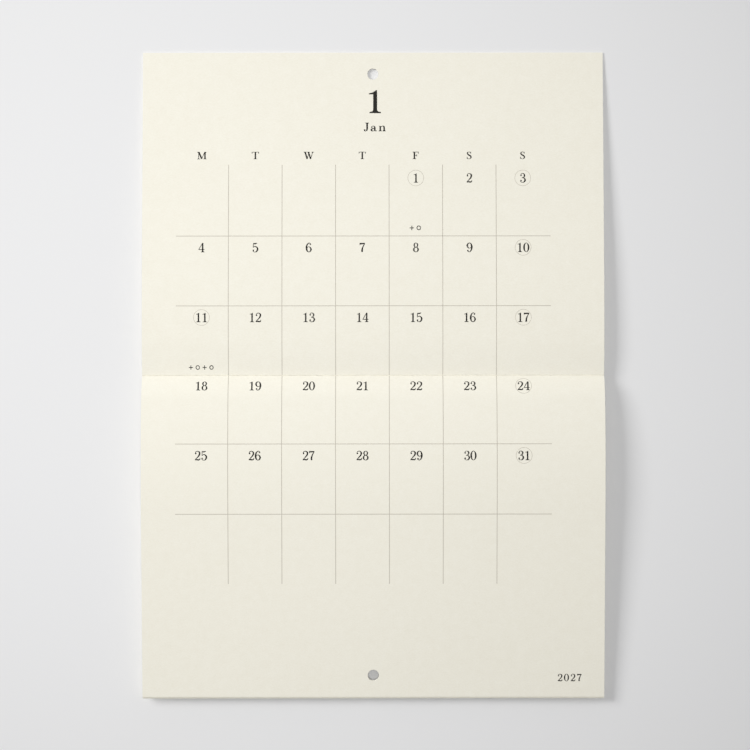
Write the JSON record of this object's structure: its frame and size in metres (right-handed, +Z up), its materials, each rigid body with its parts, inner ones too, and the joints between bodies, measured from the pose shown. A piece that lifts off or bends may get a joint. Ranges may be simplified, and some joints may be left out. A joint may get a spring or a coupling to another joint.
{
  "type": "wall calendar",
  "caption": "Centre-stapled paper wall calendar hung open at its first month, with hang holes and a bowed lower half.",
  "frame": {"origin": "centre of the hang hole, on the back of the leaf that hangs", "axes": "+X to the right as the pages are read, +Y into the wall, +Z up"},
  "size_m": [0.297, 0.0158, 0.4168],
  "materials": {
    "cover_paper": "uncoated cream paper",
    "page_paper": "uncoated cream paper",
    "staple_wire": "galvanised wire"
  },
  "bodies": {
    "cover": {"front_cover": "cover_paper"},
    "pages": {"page_block": "page_paper", "back_cover": "cover_paper", "staple_left": "staple_wire", "staple_right": "staple_wire"}
  },
  "joints": [
    {"name": "cover_fold", "type": "hinge", "parent": "cover", "child": "pages", "pos_m": [0, -0.00645, -0.19477], "axis": [-1, 0, 0], "range_deg": [0, 120]}
  ]
}
